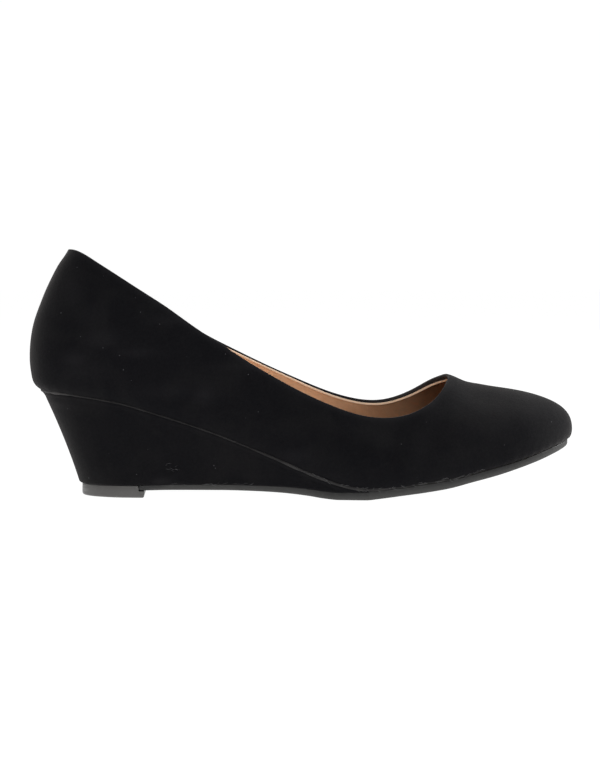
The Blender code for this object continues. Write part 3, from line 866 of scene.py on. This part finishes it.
def make_wedge():
    """Suede-covered wedge with soft edges and small wrinkles where it runs out."""
    ring = foot_ring(-WEDGE_PROUD)
    back = ring[:, 0].min()
    stations = back + (WEDGE_END - back) * (1 - np.cos(np.linspace(0, np.pi / 2, 190)))
    depths = (1 - np.cos(np.linspace(0, np.pi, 31))) / 2
    high = profile(SEAT, stations) - WEDGE_TOP_GAP
    wrinkled = smooth((stations - 104) / 24) * smooth((150 - stations) / 14)
    columns = side_values(ring, np.column_stack([ring[:, 1], outward(ring)]), stations)
    walls = []
    for side, column in zip((-1, 1), columns):
        y, normal = column[:, 0], column[:, 1:]
        rows = []
        for depth in depths[::-1]:
            side_x, side_y = base_point(stations, y, depth)
            low = sole_top(side_x) + WEDGE_LOW_GAP
            z = high + (low - high) * depth
            from_top, from_low = high - z, z - low
            out = 0.30 * hump(from_top, 0.9, 0.7) - 0.10 * hump(from_top, 2.4, 0.7)
            out *= smooth((high - low) / 4.0)
            out -= rounding(from_low, 0.8)
            out -= rounding(from_top, 0.5)
            out += 0.10 * wrinkled * np.sin(2 * np.pi * (stations + 0.8 * z) / 4.6 + side)
            uneven = np.sin(stations / 7.1 + side) * np.sin(z / 6.3 + 0.4)
            out += 0.10 * uneven * smooth(from_top / 6) * smooth(from_low / 6)
            rows.append(np.column_stack([side_x + normal[:, 0] * out, side_y + normal[:, 1] * out, z]))
        walls.append(np.array(rows))
    points, faces = walled_body(walls[0], walls[1], 8, closed_end=True)
    return add_piece("wedge_cover", points, faces, WEDGE_SUEDE, ("wedge",),
                     {"rubbed_and_painted_light": charted(WEDGE_RUBBED, points), "rim": np.zeros(len(points))})


def make_welt():
    """Fine raised seam between upper and wedge, from one side of the forefoot round to the other."""
    ring = foot_ring(0.0)
    turned = outward(ring)
    order = (np.arange(len(ring)) + np.argmin(ring[:, 0]) + len(ring) // 2) % len(ring)
    ring, turned = ring[order], turned[order]
    kept = ring[:, 0] < WELT_FRONT
    ring, turned = ring[kept][::2], turned[kept][::2]
    x = ring[:, 0]
    ends = smooth((WELT_FRONT - x) / 22)
    ball = smooth((x - 96) / 20) * smooth((168 - x) / 20)
    round_it = distances_along(ring)
    uneven = 1 + 0.14 * np.sin(round_it / 2.1 + np.sin(round_it / 5.3)) + 0.08 * np.sin(round_it / 0.9)
    radius = WELT_RADIUS + WELT_HEEL * smooth((22 - x) / 14) + WELT_BALL * ball
    radius = radius * uneven * (0.25 + 0.75 * ends)
    glints = smooth((np.sin(round_it / 1.7 + 2 * np.sin(round_it / 7.1)) - 0.2) / 0.5)
    # painted highlight: the seam made lighter at the back of the heel and along the ball, broken into painted
    # glints, with more glints from x 160 on
    painted_highlight = 0.1 + 0.32 * ball * (0.5 + 0.5 * glints) + 0.6 * smooth((24 - x) / 12)
    painted_highlight = np.clip(painted_highlight + 0.5 * smooth((x - 160) / 8) * glints, 0, 1)
    height = profile(SEAT, x) + 0.05 + 0.25 * smooth((x - 140) / 20)
    centre = np.column_stack([ring + turned * WELT_PROUD, height])
    side = np.column_stack([turned, np.zeros(len(x))])
    up = np.array([0.0, 0.0, 1.0])
    turns = np.linspace(0, 2 * np.pi, WELT_SIDES, endpoint=False)
    rings = np.array([[centre[i] + radius[i] * (side[i] * np.cos(a) + up * np.sin(a)) for a in turns]
                      for i in range(len(x))])
    faces = ring_faces(len(rings), WELT_SIDES, False)
    for start in (0, (len(rings) - 1) * WELT_SIDES):
        faces.append(list(range(start, start + WELT_SIDES)))
    points = rings.reshape(-1, 3)
    return add_piece("seam_welt", points, faces, WELT,
                     attributes={"rubbed_and_painted_light": np.repeat(painted_highlight, WELT_SIDES), "rim": np.zeros(len(points))})


# Loose fibres: side, from x to x, heights above the seam, or above the wedge's base for those on the
# wedge, and how many
Fuzz = namedtuple("Fuzz", "side x0 x1 low high count on_wedge")
FUZZ = [Fuzz(*row) for row in (
    (-1, 124, 160, -0.5, 0.9, 34, False), (-1, 158, 202, -0.2, 1.0, 30, False),
    (1, 126, 198, -0.4, 0.9, 34, False), (-1, 59, 66, 6.6, 9.6, 9, True),
    (-1, 62, 100, 0.0, 0.7, 30, True), (1, 62, 100, 0.0, 0.7, 24, True), (1, 30, 90, 3.0, 12.0, 6, True),
)]


def make_fibres():
    """Short loose fibres along the seam at the ball and on the wedge, as one mesh."""
    random = np.random.RandomState(FIBRE_SEED)
    outline = foot_ring(-WEDGE_PROUD)
    steps = np.linspace(0, 1, FIBRE_STEPS)
    corners = np.linspace(0, 2 * np.pi, FIBRE_SIDES, endpoint=False)
    tapered = 0.25 + np.sin(np.pi * np.clip(steps, 0.08, 0.92))
    rings, faces = [], []
    for fuzz in FUZZ:
        for _ in range(fuzz.count):
            x0 = random.uniform(fuzz.x0, fuzz.x1)
            length, slope, curl = random.uniform(0.8, 2.4), random.normal(0, 0.35), random.normal(0, 0.25)
            rise = random.uniform(fuzz.low, fuzz.high)
            x = x0 + steps * length
            seat = profile(SEAT, x)
            if fuzz.on_wedge:
                depth = 1 - rise / (seat - sole_top(x))
                height = sole_top(x) + rise
            else:
                depth = np.zeros(FIBRE_STEPS)
                height = seat + rise
            lateral, medial = sides(outline, x)
            y = base_point(x, lateral if fuzz.side < 0 else medial, depth)[1]
            out = 0.12 + 0.35 * np.sin(np.pi * steps) * random.uniform(0.2, 1.0)
            y = y + fuzz.side * (out + 0.35 * np.clip(height - seat, 0, 1.2))
            z = height + slope * steps * length + curl * np.sin(np.pi * steps)
            radius = FIBRE_RADIUS * (0.6 if fuzz.on_wedge else 1.0) * tapered
            base = len(rings) * FIBRE_SIDES
            for i in range(FIBRE_STEPS):
                rings.append(np.column_stack([np.full(FIBRE_SIDES, x[i]), y[i] + radius[i] * np.cos(corners),
                                              z[i] + radius[i] * np.sin(corners)]))
            faces += [[base + f for f in face] for face in ring_faces(FIBRE_STEPS, FIBRE_SIDES, False)]
            end = base + (FIBRE_STEPS - 1) * FIBRE_SIDES
            faces += [[start + corner for corner in range(FIBRE_SIDES)] for start in (base, end)]
    points = np.concatenate(rings)
    return add_piece("loose_fibres", points, faces, FIBRE,
                     attributes={"rubbed_and_painted_light": np.zeros(len(points)), "rim": np.zeros(len(points))})


def make_outsole():
    """Outsole with a rounded lower edge and a fine ribbed tread under the forefoot."""
    def top_of(x):
        return sole_top(x) + SOLE_OVERLAP

    def rise(x, share):
        return profile(UNDERSIDE, x) + share * (top_of(x) - profile(UNDERSIDE, x))

    levels = [(SOLE_EDGE_ROUND * (1 - np.sin(a)),
               lambda x, a=a: rise(x, SOLE_ROUND_SHARE * (1 - np.cos(a))))
              for a in np.linspace(0, np.pi / 2, 8)]
    levels.append((0.0, lambda x: rise(x, 0.7)))
    levels += [(TOP_ROUND * (1 - np.cos(a)), lambda x, a=a: top_of(x) - TOP_ROUND * (1 - np.sin(a)))
               for a in np.linspace(0, np.pi / 2, 4)]
    rear = np.linspace(0, 0.30, 60)[:-1]
    middle = np.linspace(0.30, 0.93, 260)[:-1]
    front = 0.93 + 0.07 * np.sin(np.linspace(0, np.pi / 2, 40))
    spread = np.concatenate([rear, middle, front])
    lateral, medial = side_walls(base_ring, levels, spread, start=SOLE_START)

    def tread(points, share):
        x = points[..., 0]
        width = (medial[0, :, 1] - lateral[0, :, 1])[None, :]
        edge = np.minimum(share, 1 - share) * width
        area = smooth((edge - TREAD_BORDER) / 0.8) * smooth(x - TREAD_SPAN[0]) * smooth(TREAD_SPAN[1] - x)
        bent = x + TREAD_CURVE * points[..., 1] ** 2
        return TREAD_DEPTH * area * smooth((np.sin(2 * np.pi * bent / TREAD_PITCH) + 0.35) / 0.5)

    points, faces = walled_body(lateral, medial, 44, low_relief=tread, closed_start=True)
    x = points[:, 0]
    low, high = profile(UNDERSIDE, x), sole_top(x)
    up = (points[:, 2] - low) / np.maximum(high - low, 0.5)
    # Painted shade: darker upper part of the edge from the waist on, and a painted shadow at the end beside
    # the tip
    painted_shade = smooth((up - 0.30) / 0.6) * (0.25 + 0.75 * smooth((x - 112) / 26))
    painted_shade = np.maximum(painted_shade, smooth((67 - x) / 12) * smooth((up - 0.2) / 0.5))
    painted_shade = np.maximum(painted_shade, smooth((56 - x) / 4))
    return add_piece("outsole_tread", points, faces, SOLE, ("outsole",), {"painted_shade": painted_shade}, 50)


def tip_ring(inset):
    """Plan outline of the heel tip, moved inwards by inset."""
    ring = base_ring(TIP_INSET + inset)
    share = np.clip((TIP_FRONT - ring[:, 0]) / (TIP_FRONT - ring[:, 0].min()), 0, 1)
    return np.column_stack([ring[:, 0] + TIP_BACK_INSET * share, ring[:, 1]])


def make_tip():
    """Heel tip: a plate with rounded edges, a step at the front that takes the end of the outsole."""
    def top_of(x):
        return np.where(x > TIP_STEP, TIP_STEP_HEIGHT, TIP_HEIGHT - SHEET_GAP)

    levels = [(TIP_ROUND * (1 - np.sin(a)), lambda x, a=a: TIP_ROUND * (1 - np.cos(a)) + 0 * x)
              for a in np.linspace(0, np.pi / 2, 7)]
    levels.append((0.0, lambda x: 0.5 * (TIP_ROUND + top_of(x) - TOP_ROUND)))
    levels += [(TOP_ROUND * (1 - np.cos(a)), lambda x, a=a: top_of(x) - TOP_ROUND * (1 - np.sin(a)))
               for a in np.linspace(0, np.pi / 2, 4)]
    back = tip_ring(0.0)[:, 0].min()
    step = (TIP_STEP - back) / (TIP_FRONT - back)
    spread = 1 - np.cos(np.linspace(0, np.pi / 2, 60))
    spread = np.sort(np.concatenate([spread, [step - 0.002, step + 0.002]]))
    lateral, medial = side_walls(tip_ring, levels, spread, end=TIP_FRONT)
    points, faces = walled_body(lateral, medial, 12, closed_end=True)
    return add_piece("heel_tip_plate", points, faces, TIP, ("heel_tip",),
                     {"painted_shade": np.zeros(len(points))}, 50)


# Stage

def make_floor():
    """Wide pale floor that glows a little, as a light table does."""
    count = FLOOR_CUTS + 1
    line = np.linspace(-FLOOR_HALF, FLOOR_HALF, count)
    points = [(x, y, FLOOR_HEIGHT) for y in line for x in line]
    corners = [row * count + column for row in range(FLOOR_CUTS) for column in range(FLOOR_CUTS)]
    faces = [[i, i + 1, i + count + 1, i + count] for i in corners]
    mesh = bpy.data.meshes.new("floor")
    mesh.from_pydata(points, [], faces)
    material, tree, shader, at = new_material("pale_floor", 0.9, Specular_IOR_Level=0.0,
                                              Emission_Strength=1.0, Emission_Color=(1.0, 1.0, 1.0, 1.0))
    tone = ranged(tree, noise(tree, at, 3, 2.0), 0.3, 0.7)
    link(tree, mixed(tree, tone, (0.10, 0.10, 0.10), (0.11, 0.11, 0.11)), shader.inputs["Base Color"])
    mesh.materials.append(material)
    floor = bpy.data.objects.new("floor", mesh)
    bpy.context.scene.collection.objects.link(floor)


def add_area(name, place_at, aim, size, power):
    """Soft square light that the camera doesn't see."""
    light = bpy.data.lights.new(name, "AREA")
    light.shape = "SQUARE"
    light.size = size
    light.energy = power
    lamp = bpy.data.objects.new(name, light)
    lamp.location = place_at
    lamp.rotation_euler = (Vector(aim) - Vector(place_at)).to_track_quat("-Z", "Y").to_euler()
    lamp.visible_camera = False
    bpy.context.scene.collection.objects.link(lamp)


# Soft lights, in metres and watts: name, place, aim, size and power
LAMPS = (
    ("key", (0.12, -1.20, 0.78), (-0.02, 0.0, 0.05), 0.5, 9.5),
    ("toe_side", (1.38, 0.40, 0.72), (0.0, 0.0, 0.05), 0.8, 26.0),
    ("heel_side", (-1.4, 0.6, 0.6), (0.0, 0.0, 0.05), 0.9, 5.5),
    ("back_wall", (0.0, 2.2, 0.7), (0.0, 0.0, 0.05), 2.4, 14.0),
)


def make_light():
    """White surroundings that only the camera sees, and four soft lights."""
    world = bpy.data.worlds.new("studio")
    bpy.context.scene.world = world
    world.use_nodes = True
    background = world.node_tree.nodes["Background"]
    background.inputs["Color"].default_value = (1.0, 1.0, 1.0, 1.0)
    background.inputs["Strength"].default_value = 1.02
    for rays in ("diffuse", "glossy", "transmission", "scatter"):
        setattr(world.cycles_visibility, rays, False)
    for lamp in LAMPS:
        add_area(*lamp)


CAMERA_TARGET = (-0.88, 0.563, 50.6)
CAMERA_DISTANCE = 1200.0
CAMERA_AZIMUTH = -1.7
CAMERA_ELEVATION = 2.8
CAMERA_LENS = 127.2


def make_camera():
    """Camera at the photograph's angle."""
    azimuth, elevation = np.radians(CAMERA_AZIMUTH), np.radians(CAMERA_ELEVATION)
    level = np.cos(elevation)
    back = np.array([np.sin(azimuth) * level, -np.cos(azimuth) * level, np.sin(elevation)])
    target = np.array(CAMERA_TARGET) * MM
    camera = bpy.data.cameras.new("camera")
    camera.lens = CAMERA_LENS
    camera.sensor_width = 36.0
    camera.sensor_fit = "AUTO"
    camera.clip_start = 0.01
    camera.clip_end = 50.0
    holder = bpy.data.objects.new("camera", camera)
    holder.location = target + back * CAMERA_DISTANCE * MM
    holder.rotation_euler = Vector(-back).to_track_quat("-Z", "Y").to_euler()
    bpy.context.scene.collection.objects.link(holder)
    bpy.context.scene.camera = holder


LAST = Last(AROUND)
make_cover(LAST)
make_lining(LAST)
make_sock(LAST)
make_wedge()
make_welt()
make_fibres()
make_outsole()
make_tip()
make_floor()
make_light()
make_camera()
bpy.context.scene.view_settings.view_transform = "Standard"
